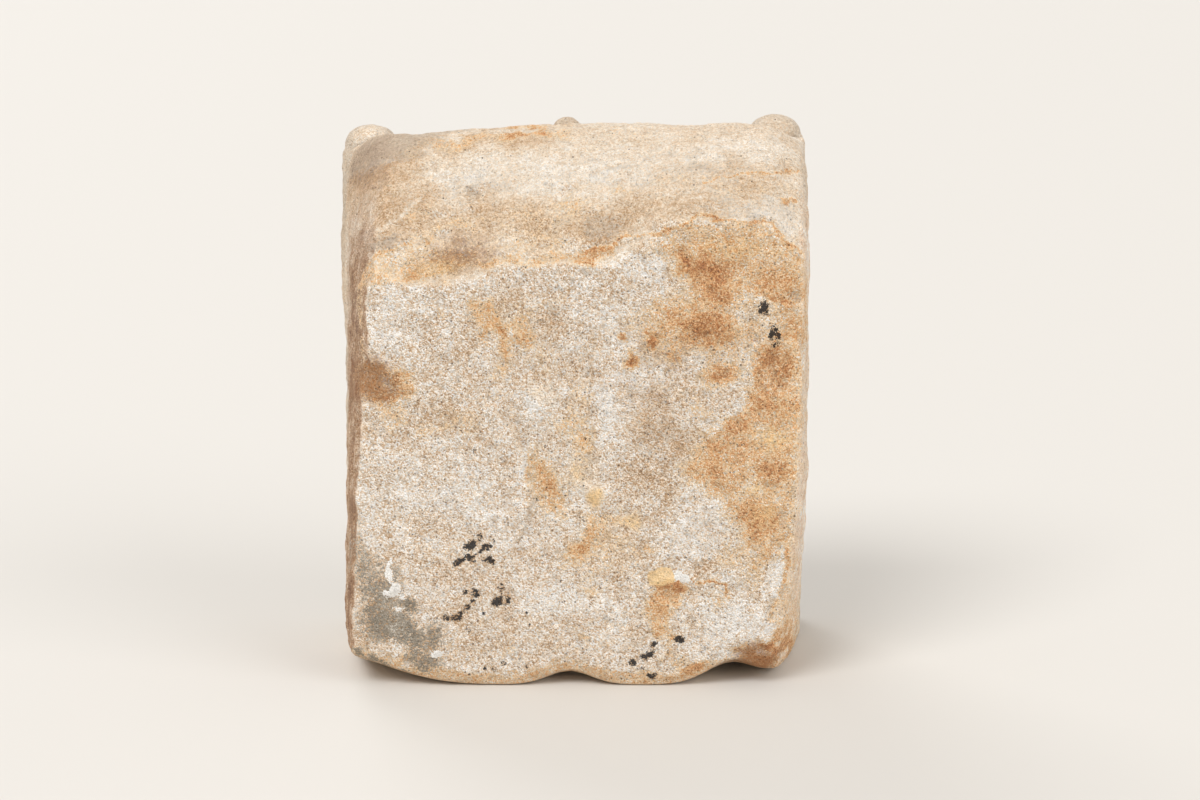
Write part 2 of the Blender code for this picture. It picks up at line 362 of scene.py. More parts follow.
def carve():
    """The block as one fine mesh, with its relief."""
    piece = bpy.data.objects.new("niche_block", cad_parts["stone_niche"].data.copy())
    bpy.context.scene.collection.objects.link(piece)
    remesh = piece.modifiers.new("remesh", "REMESH")
    remesh.mode = "VOXEL"
    remesh.voxel_size = VOXEL
    soften = piece.modifiers.new("soften", "SMOOTH")
    soften.factor = SMOOTHING
    soften.iterations = SMOOTHING_ROUNDS
    mesh = applied(piece)
    points, normals = read_points(mesh)
    points = points + normals * relief(points, normals, on_face(points))[:, None]
    points[:, 2] = np.maximum(points[:, 2], 0.0)
    mesh.vertices.foreach_set("co", points.ravel())
    mesh.update()
    plainer = mark_plainer(piece, points, normals)
    triangles = sum(len(face.vertices) - 2 for face in mesh.polygons)
    if triangles > TRIANGLES:
        thin = piece.modifiers.new("thin", "DECIMATE")
        thin.ratio = TRIANGLES / triangles
        thin.vertex_group = plainer.name
        thin.vertex_group_factor = 1.0
        mesh = applied(piece)
    piece.vertex_groups.clear()
    mesh.shade_smooth()
    return piece


# Stains by kind, all on the plane of the split face, with a few painted highlights and painted shadows along
# raised edges among the lines. An area is its outline, the softness of its edge and its strength. A spot is
# right, up, half width, half height, turn in degrees and strength. A line is its points, its reach and its
# strength
AREAS = {
    "ochre": (
        ([(43, 227), (58, 232), (75, 235), (97, 235), (103, 229), (114, 220), (116, 198), (115, 176),
          (105, 181), (98, 189), (93, 197), (81, 197), (80, 186), (63, 184), (47, 184), (39, 190),
          (40, 199), (54, 200), (58, 204), (54, 206), (48, 216), (42, 223)], 6.0, 0.66),
        ([(94, 153), (88, 151), (78, 141), (71, 134), (58, 124), (52, 113), (60, 102), (72, 98), (75, 90),
          (84, 86), (86, 74), (93, 65), (99, 59), (106, 66), (109, 74), (114, 110), (114, 150)], 6.5, 0.78),
        ([(-104, 168), (-93, 167), (-86, 164), (-79, 161), (-76, 152), (-78, 145), (-82, 138), (-91, 129),
          (-94, 145), (-98, 150), (-104, 150), (-106, 155)], 3.0, 0.45),
        ([(-51, 195), (-46, 197), (-39, 197), (-36, 192), (-35, 187), (-30, 180), (-30, 173), (-32, 169),
          (-36, 175), (-38, 182), (-45, 183), (-50, 189)], 2.2, 0.75),
        ([(-32, 185), (-25, 190), (-19, 182), (-18, 177), (-23, 173), (-28, 178)], 2.5, 0.62),
        ([(-23, 119), (-21.5, 106), (-22, 96), (-18, 101), (-8, 90), (-5, 95), (-9, 106), (-11, 114),
          (-17, 120)], 3.0, 0.34),
        ([(41, 51), (59, 54), (57, 44), (52, 43), (51, 37), (49, 30), (54, 24), (51, 22), (44, 27),
          (38, 31), (36, 42), (38, 45)], 3.5, 0.86),
        ([(108, 74), (114, 66), (114, 25), (108, 17), (100, 20), (100, 43), (104, 53),
          (107, 71)], 2.0, 0.50),
        ([(-6, 218), (6, 223), (14, 224), (21, 227), (20, 217), (14, 215), (4, 216)], 2.2, 0.75),
        ([(-101, 217), (-90, 221), (-65, 226), (-45, 226), (-45, 217), (-55, 210), (-65, 207), (-80, 204),
          (-92, 203), (-101, 205)], 3.5, 0.50),
    ),
    "rust": (
        ([(49, 221), (60, 221), (71, 215), (78, 205), (80, 197), (70, 197), (63, 200), (56, 205),
          (51, 213)], 5.0, 1.0),
        ([(-108, 170), (-96, 169), (-88, 164), (-80, 161), (-80, 152), (-90, 150), (-100, 143),
          (-108, 146)], 6.0, 0.85),
        ([(82, 22), (98, 25), (106, 18), (98, 9), (83, 8)], 4.0, 0.9),
    ),
    "brown": (
        ([(-110, 171), (-97, 169), (-88, 165), (-83, 159), (-90, 153), (-99, 148), (-110, 150)], 6.0, 0.72),
    ),
    "straw": (
        ([(38, 60), (44, 61.5), (50, 61.5), (52, 54), (46, 52), (38, 52)], 0.8, 1.0),
    ),
    "lime": (
        ([(50, 60), (54, 61), (60, 59), (60, 55), (51, 54)], 0.8, 0.8),
    ),
    "bloom": (
        ([(99, 75), (104, 76), (105, 69), (104, 58), (102, 48), (95, 45), (96, 62)], 1.2, 1.0),
        ([(76, 244), (102, 244), (113, 242), (115, 225), (109, 228), (102, 232), (97, 236),
          (76, 237)], 2.4, 0.45),
    ),
}
SPOTS = {
    "ochre": (
        (-3, 278, 6, 3, 0, 0.5), (-70, 230, 8, 4, 20, 0.45), (-54, 235, 9, 4, 15, 0.5),
        (-102, 267, 8, 3, 8, 0.5), (52, 256, 9, 2, 4, 0.4), (0, 245, 8, 4, 0, 0.35),
        (28, 280, 14, 3, 0, 0.25), (-12, 238, 30, 9, 4, 0.30), (86, 252, 22, 5, 0, 0.22),
        (-20, 226, 24, 5, 0, 0.30), (82, 217, 30, 14, 0, 0.20), (107, 205, 8, 16, 0, 0.25),
        (86, 195, 4, 3, 0, 0.6), (74, 178, 12, 7, 0, 0.35), (103, 164, 14, 24, -10, 0.72),
        (72, 162, 12, 7, 0, 0.7), (28, 169, 4.5, 4.5, 0, 0.8), (24, 178, 3, 3, 0, 0.7),
        (39.5, 178, 3.4, 3, 0, 0.7), (58, 186, 30, 8, 0, 0.5), (66, 176, 30, 10, 0, 0.46),
        (84, 186, 14, 8, 0, 0.30), (82, 138, 7, 6, 0, 0.25), (77, 126, 9, 7, 0, 0.25),
        (90, 83, 12, 11, 0, 0.35), (90, 62, 9, 14, 0, 0.55), (78, 69, 8, 6, 0, 0.5),
        (63, 142, 6, 4, 0, 0.4), (60, 152, 14, 4, 0, 0.2), (-64, 192, 3, 5, 0, 0.6),
        (-35, 163, 6, 7, 0, 0.5), (3, 137, 10, 22, 0, 0.36), (4, 126, 6, 13, 0, 0.46),
        (5, 127, 4, 6, 0, 0.30), (-13, 116, 9, 12, 0, 0.34), (-12, 172, 9, 7, 0, 0.24),
        (-56, 137, 13, 7, 0, 0.40), (-70, 133, 8, 4, 0, 0.35), (-30, 184, 20, 16, 0, 0.25),
        (-10, 100, 12, 10, 0, 0.32), (14, 98, 5, 8, 0, 0.45), (25, 86, 7, 3, 0, 0.5),
        (38, 73, 3, 4, 0, 0.75), (9, 51, 5, 2, 0, 0.45), (62, 33, 6, 4, 0, 0.4), (75, 43, 6, 6, 0, 0.5),
        (57, 10, 10, 5, 0, 0.45), (20, 72, 16, 12, 0, 0.26), (30, 58, 10, 10, 0, 0.24),
        (24, 30, 8, 4, 0, 0.35), (6, 60, 8, 10, 0, 0.24), (12, 88, 12, 10, 0, 0.24),
    ),
    "rust": (
        (-72, 211, 13, 6, 8, 0.7), (12, 220, 8, 4, 30, 0.6), (92, 207, 14, 6, 0, 0.3),
        (-96, 158, 9, 12, 0, 0.6), (-91, 132, 4, 5, 0, 0.6), (-82, 160, 4, 3, 0, 0.5),
        (-80, 153, 4, 4, 0, 0.4), (99, 161, 12, 15, 20, 0.6), (105, 172, 6, 10, 0, 0.4),
        (70, 178, 30, 9, 0, 0.35), (72, 160, 10, 5, 6, 1.0), (28, 169, 4.5, 4.5, 0, 1.0),
        (24, 178, 3.4, 3.2, 0, 1.0), (39.5, 178, 3.4, 3.2, 0, 1.0), (37, 168, 3, 3, 0, 0.4),
        (-39, 199, 2, 2, 0, 0.9), (82, 138, 5, 5, 0, 0.45), (95, 110, 14, 4, 0, 0.35),
        (92, 84, 10, 8, 0, 0.35), (45, 39, 5, 5, 0, 0.4), (-12, 106, 4, 5, -30, 0.4),
        (-63, 72, 1.4, 1.4, 0, 0.9), (-6, 90, 3, 2, 0, 0.5), (86, 90, 5, 4, 0, 0.4),
    ),
    "straw": (
        (12, 98, 5, 6, 0, 0.8), (98, 128, 12, 8, 0, 0.5), (91, 103, 10, 4, 0, 0.5),
        (-14, 152, 9, 8, 0, 0.35), (5, 112, 10, 14, 0, 0.4), (96, 90, 10, 10, 0, 0.4),
        (-62, 214, 16, 7, 8, 0.5), (28, 86, 8, 5, 0, 0.5), (84, 222, 26, 8, 0, 0.35),
    ),
    "brown": (
        (-98, 162, 6, 9, 0, 0.6), (-92, 152, 7, 6, 30, 0.4), (98, 160, 8, 10, 20, 0.45),
        (66, 178, 34, 13, 0, 0.30), (50, 152, 34, 24, 0, 0.15), (8, 160, 30, 26, 0, 0.12),
        (71, 160, 6, 2.4, 6, 0.4), (28, 169, 2.0, 2.0, 0, 0.4), (-55, 220, 20, 10, 14, 0.66),
        (-102, 266, 18, 16, 0, 0.55), (-90, 226, 14, 5, 18, 0.3), (66, 204, 7, 5, -30, 0.25),
        (92, 15, 13, 8, 8, 1.0), (78, 10, 10, 4, 0, 0.5), (-106, 150, 4, 10, 0, 0.5),
        (-91, 131, 2.4, 3, 0, 0.4), (108, 200, 3, 7, 0, 0.3),
    ),
    "tan": (
        (-92, 246, 22, 14, 18, 0.75), (-76, 236, 16, 10, 20, 0.6), (-40, 240, 36, 10, 12, 0.5),
        (0, 236, 40, 10, 4, 0.5), (-60, 216, 22, 9, 10, 0.8), (-91, 227, 10, 4, 18, 0.6),
        (50, 246, 30, 8, 0, 0.3), (88, 252, 22, 6, -4, 0.4), (-98, 265, 22, 14, 10, 0.9),
        (-36, 276, 34, 6, 3, 0.7), (16, 233, 16, 9, 0, 0.5), (84, 264, 20, 3, 0, 0.3),
        (-86, 274, 18, 8, 10, 0.5), (-20, 186, 24, 18, 0, 0.35), (-8, 150, 22, 22, 0, 0.3),
        (-60, 142, 24, 10, -10, 0.35), (44, 136, 22, 30, 0, 0.35), (36, 100, 22, 16, 0, 0.35),
        (20, 74, 26, 12, 0, 0.3), (60, 176, 26, 12, 0, 0.45), (64, 152, 20, 8, 0, 0.3),
        (-56, 176, 14, 16, 0, 0.2), (66, 66, 10, 6, 0, 0.4), (-30, 28, 40, 10, 0, 0.2),
        (110, 150, 5, 60, 0, 0.4),
    ),
    "bloom": (
        (-18, 148, 7, 6, 0, 1.0), (19, 142, 6, 28, -2, 0.7), (-90.5, 159, 2.6, 3, 0, 1.0),
        (-84, 188, 22, 18, 0, 0.5), (-80, 104, 28, 22, 0, 0.4), (-44, 92, 20, 26, 0, 0.4),
        (79, 30, 22, 14, 20, 0.75), (58, 84, 16, 12, 0, 0.5), (26, 214, 12, 11, 20, 0.6),
        (40, 208, 8, 10, 0, 0.4), (-22, 258, 44, 9, 2, 0.45), (24, 262, 30, 7, 0, 0.35),
        (72, 270, 30, 6, 0, 0.3), (62, 206, 3, 3, 0, 0.3), (98, 128, 10, 6, 0, 0.6),
        (91, 103, 9, 3.5, 0, 0.6), (-50, 256, 2.2, 2.2, 0, 0.9), (-10, 44, 20, 10, 0, 0.5),
        (-46, 52, 24, 10, 0, 0.2), (64, 166, 10, 5, 0, 0.4), (48, 159, 9, 5, 0, 0.4),
        (80, 170, 8, 8, 0, 0.3), (16, 100, 2.5, 8, 0, 0.8), (8, 205, 6, 5, 0, 0.4),
        (-30, 208, 14, 5, 0, 0.3), (-100, 84, 6, 26, 0, 0.45), (80, 145, 5, 4, 0, 0.4),
    ),
    "grey": (
        (-83, 274, 24, 8, 12, 1.0), (-104, 270, 12, 12, 0, 0.9), (-91, 227, 10, 4, 16, 0.8),
        (-53, 222, 14, 7, 20, 0.25), (16, 234, 11, 7, 0, 0.6), (0, 236, 9, 5, 0, 0.3),
        (92, 240, 30, 8, -4, 0.45), (66, 260, 50, 16, 0, 0.25), (-10, 256, 40, 8, 2, 0.2),
        (44, 130, 16, 16, 0, 0.35), (64, 80, 14, 10, 0, 0.3), (-50, 251, 2.0, 1.8, 0, 1.0),
        (7, 212, 2.4, 2.2, 0, 1.0), (-1, 207, 1.4, 1.4, 0, 0.8), (-10, 192, 1.8, 1.6, 0, 0.8),
        (108, 198, 3, 8, 0, 0.6), (-60, 250, 36, 8, 16, 0.3), (72, 262, 30, 3, 2, 0.3),
        (106, 88, 2, 7, 0, 0.5), (104, 50, 2, 4, 0, 0.6), (110, 222, 4, 5, 0, 0.3), (88, 190, 5, 4, 0, 0.3),
    ),
    "soil": (
        (-100, 58, 8, 13, 0, 0.4), (-97, 48, 8, 9, -30, 0.55), (-92, 34, 15, 9, -30, 0.85),
        (-82, 42, 6, 4, -20, 0.9), (-80, 27, 9, 6, -30, 0.8), (-75, 15, 9, 6, -10, 0.85),
        (-68, 27, 5, 6, 0, 0.7), (-100, 32, 8, 8, 0, 0.6), (-106, 70, 4, 20, 0, 0.3),
        (-90, 52, 5, 9, 0, 0.5), (-112, 16, 8, 8, 0, 0.35),
    ),
    "lime": (
        (-92.5, 58, 1.9, 5.0, 14, 1.0), (-89.5, 50, 2.6, 4.2, -34, 1.0), (-86, 46.5, 1.8, 1.6, 0, 0.8),
        (-92, 64.5, 1.3, 2.2, -20, 0.95), (-94, 49, 1.5, 2.0, 0, 0.7), (-68, 19, 3.0, 2.0, 10, 1.0),
        (-87, 41, 3.2, 0.9, 0, 0.7), (-95, 68, 0.9, 1.2, 0, 0.6), (-65, 20, 1.2, 0.9, 0, 0.6),
    ),
    "lichen": (
        (-52, 75, 2.7, 3.2, 0, 1.0), (-44, 72, 4.2, 1.6, 32, 1.0), (-42, 67, 3.0, 2.4, 30, 1.0),
        (-55, 65, 2.2, 2.8, -20, 1.0), (-50, 67, 2.6, 2.2, 0, 0.9), (-47, 78, 2.0, 1.4, 0, 0.7),
        (-37, 45, 3.2, 2.8, 0, 1.15), (-31, 46, 1.9, 2.6, 0, 0.85), (-34, 51, 1.2, 1.6, 0, 0.6),
        (-48, 48, 2.4, 3.0, 30, 0.75), (-53, 50, 2.0, 1.4, -30, 0.65), (-52, 41, 2.8, 2.2, 0, 0.85),
        (-58, 36, 3.2, 2.4, 25, 0.85), (-64, 35, 3.0, 2.2, -20, 0.85), (-52, 31, 1.4, 1.4, 0, 0.5),
        (-43, 39, 1.2, 0.8, 0, 0.7), (-24, 39, 0.9, 0.7, 0, 0.8), (-31, 36, 0.9, 0.8, 0, 0.7),
        (-23, 32, 1.0, 0.7, 0, 0.8), (-7, 54, 0.9, 0.8, 0, 0.8), (41, 24, 1.7, 1.7, 0, 0.9),
        (54, 24, 2.7, 2.0, 30, 1.1), (39, 18, 3.4, 2.2, 40, 1.1), (32, 13, 2.2, 2.0, -30, 1.0),
        (37, 11, 1.4, 1.0, 0, 0.6), (41, 7, 2.4, 1.7, -20, 1.0), (-52, 8, 1.2, 0.9, 0, 0.8),
        (-44, 9, 0.9, 0.8, 0, 0.7), (-40, 8, 0.8, 0.7, 0, 0.7), (-34, 12, 1.4, 0.8, 0, 0.7),
        (-27, 13, 1.0, 0.7, -30, 0.7), (-23, 11, 0.9, 0.7, 0, 0.7), (93.5, 190, 2.8, 2.2, 0, 1.0),
        (94, 193, 1.6, 2.2, 0, 0.9), (98, 182, 2.4, 2.8, 0, 1.1), (102.5, 179.5, 2.0, 2.4, 0, 0.7),
        (101, 176, 2.6, 1.4, 0, 0.9), (1, 97, 1.0, 0.8, 0, 0.6), (-17, 97, 0.9, 1.2, 0, 0.6),
        (-52, 131, 0.9, 0.8, 0, 0.6), (-68, 116, 0.8, 0.8, 0, 0.6), (-50, 122, 1.0, 0.7, -30, 0.6),
        (6, 128, 0.8, 0.6, 0, 0.7), (6, 141, 0.8, 0.6, 0, 0.6),
    ),
}
LINES = {
    "ochre": (
        ([(-80, 270), (-69, 273), (-61, 275), (-51, 275), (-41, 277), (-30, 279), (-16, 281),
          (-11, 280)], 3.0, 0.66),
        ([(-66, 271), (-41, 274), (-30, 276)], 1.5, 0.4),
        ([(-44, 216), (-33, 219), (-16, 219), (-6, 218)], 3.8, 0.6),
        ([(22, 228), (35, 229), (45, 233), (56, 236), (68, 238), (76, 237.5), (79, 236), (96, 235.5),
          (100, 232), (102, 228), (109, 225), (113, 222)], 1.6, 0.95),
        ([(43, 231), (56, 232), (68, 234)], 1.2, 0.6),
        ([(-99, 219), (-95, 221), (-87, 223), (-78, 226)], 1.4, 0.6),
        ([(-101, 205), (-100, 214), (-96, 220)], 1.6, 0.5), ([(-80, 238), (-66, 243)], 1.4, 0.4),
        ([(65, 258), (74, 260), (82, 259), (96, 260), (101, 261), (109, 261)], 1.2, 0.85),
        ([(104, 245), (110, 245)], 1.5, 0.85), ([(19, 252), (32, 252)], 1.5, 0.5),
        ([(-44, 184), (-46, 178), (-43, 173)], 1.5, 0.75),
        ([(-23, 126), (-19, 113), (-12, 102), (-5, 90)], 8.0, 0.20),
        # The line from (42, 51) to (58, 53) is partly ochre and partly painted shadow under the raised chip
        ([(-2, 66), (4, 71), (9, 75), (13, 84)], 8.0, 0.50), ([(42, 51), (58, 53)], 2.2, 0.4),
        ([(60, 58), (70, 58), (73, 55), (81, 51), (82, 46)], 1.4, 0.95),
        ([(107, 73), (104, 55), (101, 47), (100, 42), (99, 35)], 2.0, 0.8),
        ([(50, 30), (51, 13)], 2.6, 0.55), ([(108, 180), (98, 170), (93, 161), (92, 155)], 2.0, 0.55),
        ([(90, 150), (84, 146)], 2.5, 0.4),
        ([(-101, 212), (-103, 195), (-103, 178), (-100, 166)], 1.8, 0.45),
    ),
    "rust": (
        ([(-30, 280), (-14, 281)], 2.0, 0.8), ([(38, 190), (47, 189), (60, 187), (77, 189)], 6.0, 0.40),
        ([(46, 180), (50, 172)], 5.0, 0.5), ([(90, 200), (106, 197)], 2.5, 0.6),
        # The line from (-22, 121) to (-21, 106) is partly rust and partly painted shadow below the step's
        # edge
        ([(-12, 162), (-6, 162), (0, 161)], 1.7, 0.6), ([(-22, 121), (-21, 106)], 2.0, 0.6),
        # The line from (41, 51.5) to (60, 52) is partly rust and partly painted shadow under the raised chip
        ([(0, 70), (8, 74)], 4.0, 0.6), ([(41, 51.5), (50, 52), (60, 52)], 1.8, 0.8),
        ([(68, 238), (76, 237.5), (79, 236)], 1.2, 0.5), ([(6, 222), (14, 222), (20, 225)], 2.6, 0.7),
        ([(-40, 186), (-33, 178)], 3.0, 0.4),
    ),
    "bloom": (
        ([(-83, 238), (-71, 247)], 1.5, 0.9), ([(-102, 229), (-87, 236)], 1.6, 0.8),
        ([(-108, 261), (-93, 266), (-88, 267)], 1.6, 0.8), ([(-64, 277), (-44, 279)], 1.3, 0.7),
        ([(44, 248), (62, 248)], 1.0, 0.7), ([(24, 226), (40, 231), (54, 235)], 1.1, 0.5),
        ([(112, 56), (113, 66), (112, 76)], 1.0, 0.9), ([(78, 238.5), (94, 238)], 1.2, 0.8),
        # The line from (-25, 124) to (-26, 96) is a painted highlight along the step's edge
        ([(-25, 124), (-24, 110), (-26, 96)], 2.2, 0.6),
        ([(-104, 205), (-105, 190), (-106, 172), (-108, 160), (-109, 150)], 0.8, 0.8),
        ([(6, 256), (26, 257)], 1.2, 0.5),
    ),
    "grey": (
        ([(-96, 276), (-69, 280)], 4.0, 0.8), ([(-64, 281), (-49, 282)], 2.2, 0.6),
        ([(-6, 265), (24, 264), (40, 267)], 1.3, 0.5), ([(62, 262), (72, 262)], 1.2, 0.5),
    ),
    "soil": (
        ([(-108, 20), (-98, 13), (-86, 7)], 3.0, 0.7),
    ),
    "lichen": (
        ([(-50, 44), (-47, 42)], 1.2, 0.8), ([(-61, 36), (-55, 39), (-51, 42)], 1.4, 0.7),
        ([(-36, 54), (-35, 48)], 1.0, 0.6), ([(-40, 76), (-42, 72), (-48, 70)], 1.2, 0.8),
        ([(-39, 71), (-41, 64)], 1.0, 0.6),
    ),
}

# Shares of a spot's size between which it fades
EDGE = {"lime": (0.6, 1.3), "lichen": (0.6, 1.3), "soil": (0.3, 1.5)}
SOFT_EDGE = (0.15, 1.6)

# How far the edge of a stain wanders, in millimetres, and the size of those wiggles in metres
WANDER = {
    "ochre": 3.0, "rust": 2.6, "brown": 2.4, "tan": 4.0, "bloom": 3.0, "straw": 1.6, "grey": 2.6, "soil": 2.6,
    "lime": 1.6, "lichen": 2.3,
}
WANDER_SIZE = 0.011

# Stains where the photo does not look: size of the patches, where their noise starts and ends, strength
UNSEEN = {
    "ochre": (0.034, 0.25, 1.2, 0.55),
    "tan": (0.050, -0.3, 0.9, 0.60),
    "brown": (0.030, 0.4, 1.3, 0.45),
}

# Grooves, for painted shade, and edges, for a painted highlight, against a smoothed copy of the mesh: rounds,
# then depths and heights in millimetres
HOLLOW_ROUNDS = 10
GROOVE_DEPTH = (0.05, 0.55)
ARRIS_HEIGHT = (0.10, 0.70)
# Share of the painted groove shade taken away on the surfaces that face the camera
GROOVE_SHADE_LESS_FACING = 0.65

# Where each zone of the block starts and is whole: places in metres, slopes as parts of the normal
FACING_SLOPE = (-0.05, 0.12)
FACING_DEPTH = (-0.035, -0.01)
BEHIND = (-0.045, -0.02)
SPLIT_SLOPE = (0.80, 0.96)
UNDER_SLOPE = (0.05, 0.35)
UNDER_HEIGHT = (0.045, 0.02)
AGED_DEPTH = (-0.018, -0.044)
FLANK_SLOPE = (0.35, 0.8)
FLANK_DEPTH = (-0.005, 0.045)
# The side that takes the brown flank palette with its painted shade, and how much further from the back it
# reaches; the other flank takes the pale palette with painted light
BROWN_PAINTED_SHADE_SIDE = (0.0, 0.05)
BROWN_PAINTED_SHADE_SIDE_WIDER = 0.024
FLANK_TOP = (0.200, 0.262)
FLANK_TOP_LOSS = 0.75
ZONE_WANDER = 0.014
ZONE_WANDER_SIZE = 0.03


def stain(kind, points, seen, facing):
    """Strength of one kind of stain from 0 to 1."""
    wander = [rough(points, WANDER_SIZE, seed, 3) for seed in (61, 71)]
    marks = seen + np.stack(wander, axis=1) * WANDER[kind]
    edge = EDGE.get(kind, SOFT_EDGE)
    clear = np.ones(len(points))
    for outline, soft, strength in AREAS.get(kind, ()):
        clear *= 1.0 - strength * area(marks, outline, soft)
    for right, up, wide, high, turn, strength in SPOTS[kind]:
        clear *= 1.0 - np.minimum(strength, 1.0) * spot(marks, right, up, wide, high, turn, edge)
    for line, wide, strength in LINES.get(kind, ()):
        clear *= 1.0 - strength * trail(marks, line, wide)
    return (1.0 - clear) * facing


def hollows(mesh, points, normals):
    """How far each point lies in a groove, and how far it stands out on an edge, both from 0 to 1."""
    ends = np.empty(2 * len(mesh.edges), np.int32)
    mesh.edges.foreach_get("vertices", ends)
    one, other = ends[0::2], ends[1::2]
    near, far = np.concatenate([one, other]), np.concatenate([other, one])
    count = np.bincount(near, minlength=len(points))
    even = points
    for _ in range(HOLLOW_ROUNDS):
        sums = [np.bincount(near, even[far, axis], len(points)) for axis in range(3)]
        even = np.stack(sums, axis=1) / count[:, None]
    depth = np.sum((even - points) * normals, axis=1) / MM
    return ramp(depth, *GROOVE_DEPTH), ramp(-depth, *ARRIS_HEIGHT)


def store(mesh, name, values):
    mesh.attributes.new(name, "FLOAT", "POINT").data.foreach_set("value", values.astype(np.float32))


def facing_camera(points, normals):
    """1 where the camera of the photo sees the back and the top, 0 where it does not look."""
    toward = np.array(EYE) - points
    toward /= np.linalg.norm(toward, axis=1)[:, None]
    return ramp(np.sum(normals * toward, axis=1), *FACING_SLOPE) * ramp(points[:, 1], *FACING_DEPTH)


def store_stains(mesh, points, facing):
    """Every kind of stain: from the marks where the camera looks, and from noise elsewhere."""
    seen = on_face(points)
    for kind in SPOTS:
        values = stain(kind, points, seen, facing)
        if kind in UNSEEN:
            size, low, high, strength = UNSEEN[kind]
            values += strength * ramp(rough(points, size, 91, 3), low, high) * (1.0 - facing)
        store(mesh, kind, values)


def store_flanks(mesh, points, normals, recess, wander):
    """The part of both flanks near the back, and which of the two is the brown one, whose palette holds
    painted shade; the other flank's palette holds painted light.
    """
    slope = ramp(np.abs(normals[:, 0]), *FLANK_SLOPE) * (1.0 - recess)
    brown = ramp(points[:, 0], *BROWN_PAINTED_SHADE_SIDE)
    near_back = ramp(points[:, 1] + wander + BROWN_PAINTED_SHADE_SIDE_WIDER * brown, *FLANK_DEPTH)
    near_back = near_back * (1.0 - FLANK_TOP_LOSS * ramp(points[:, 2], *FLANK_TOP))
    store(mesh, "flank", slope * near_back)
    store(mesh, "brown_painted_shade_side", slope * near_back * brown)


def store_zones(mesh, points, normals, recess, wander):
    """The split face, the broken edge under it, the weathered front, and the depth of the recess, which takes
    painted shade.
    """
    behind = ramp(points[:, 1], *BEHIND)
    store(mesh, "split", ramp(normals[:, 1], *SPLIT_SLOPE) * behind)
    store(mesh, "under", ramp(-normals[:, 2], *UNDER_SLOPE) * ramp(points[:, 2], *UNDER_HEIGHT) * behind)
    store(mesh, "aged", ramp(points[:, 1] + wander, *AGED_DEPTH))
    store(mesh, "hollow", recess * ramp(points[:, 1], PANEL, RECESS_BACK))


def stain_all(piece):
    """Stores the stains, the zones, the grooves and edges, and the depth through the beds on the mesh."""
    mesh = piece.data
    points, normals = read_points(mesh)
    recess = in_recess(points)
    facing = facing_camera(points, normals) * (1.0 - recess)
    wander = ZONE_WANDER * rough(points, ZONE_WANDER_SIZE, 81, 3)
    store_stains(mesh, points, facing)
    store_flanks(mesh, points, normals, recess, wander)
    groove, arris_highlight = hollows(mesh, points, normals)
    # Painted shade in the grooves, less of it on the back; painted highlight on the edges
    store(mesh, "groove", groove * (1.0 - GROOVE_SHADE_LESS_FACING * facing))
    store(mesh, "arris_highlight", arris_highlight)
    store_zones(mesh, points, normals, recess, wander)
    store(mesh, "bed", bed_depth(points))


def paint(red, green, blue):
    """Linear colour from the usual 0 to 255 values."""
    shares = [value / 255.0 for value in (red, green, blue)]
    curved = [((share + 0.055) / 1.055) ** 2.4 for share in shares]
    return [share / 12.92 if share <= 0.04045 else curve for share, curve in zip(shares, curved)] + [1.0]


# The bare stone from its tan to its whitest grains, and the iron stain from faint to deep
STONE = (
    (0.00, paint(192, 157, 122)), (0.22, paint(217, 188, 157)), (0.45, paint(233, 213, 190)),
    (0.68, paint(244, 232, 217)), (0.95, paint(254, 251, 247)),
)
IRON = (
    (0.00, paint(248, 234, 212)), (0.28, paint(240, 210, 170)), (0.52, paint(226, 176, 124)),
    (0.78, paint(200, 136, 84)), (1.00, paint(154, 98, 60)),
)

# The flanks as the photo shows them, left brown stain with painted shade and right pale stone with painted
# light, and the soil, all from dark to light
LEFT_FLANK_BROWN_AND_PAINTED_SHADE = (
    (0.00, paint(102, 60, 33)), (0.40, paint(147, 100, 63)), (0.70, paint(185, 143, 104)),
    (1.00, paint(226, 202, 177)),
)
RIGHT_FLANK_PALE_AND_PAINTED_LIGHT = (
    (0.00, paint(216, 172, 136)), (0.40, paint(247, 220, 192)), (0.70, paint(253, 237, 220)),
    (1.00, paint(255, 252, 246)),
)
DIRT = (
    (0.00, paint(88, 82, 72)), (0.45, paint(132, 124, 110)), (0.75, paint(168, 158, 143)),
    (1.00, paint(226, 218, 206)),
)
YELLOWER = (1.0, 0.975, 0.925)
GREY = paint(192, 178, 162)
AGED = paint(200, 186, 168)
# Dark grains, and painted shadow in pits
DARK_GRAIN_AND_PIT_SHADOW = paint(84, 68, 56)
FLOOR = paint(216, 213, 208)
WORLD = paint(247, 243, 238)

# Stains with a broken edge: how much the grain breaks it, where it starts and is whole, strength, colour
BROKEN = {
    "straw": (0.7, 0.20, 0.80, 0.80, paint(252, 216, 160)),
    "brown": (1.0, 0.22, 0.74, 0.70, paint(152, 104, 68)),
    "grey": (1.0, 0.22, 0.74, 0.55, GREY),
    "lime": (0.9, 0.35, 0.55, 1.0, paint(250, 247, 242)),
    "lichen": (1.7, 0.42, 0.64, 0.95, paint(38, 35, 36)),
}
SOIL = (2.0, 0.28, 0.70, 0.92)
FAINT_STAIN = (0.02, 0.22)

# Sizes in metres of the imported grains, and size, detail and roughness of each noise
GRAIN, FLAKE, CRUMB, SPECK = 0.00062, 0.00105, 0.0017, 0.0046
FINE = (0.0022, 3.0, 0.65)
PATCH = (0.013, 7.0, 0.60)
VEIN = (0.011, 7.0, 0.72)
CLOUD = (0.036, 4.0, 0.60)

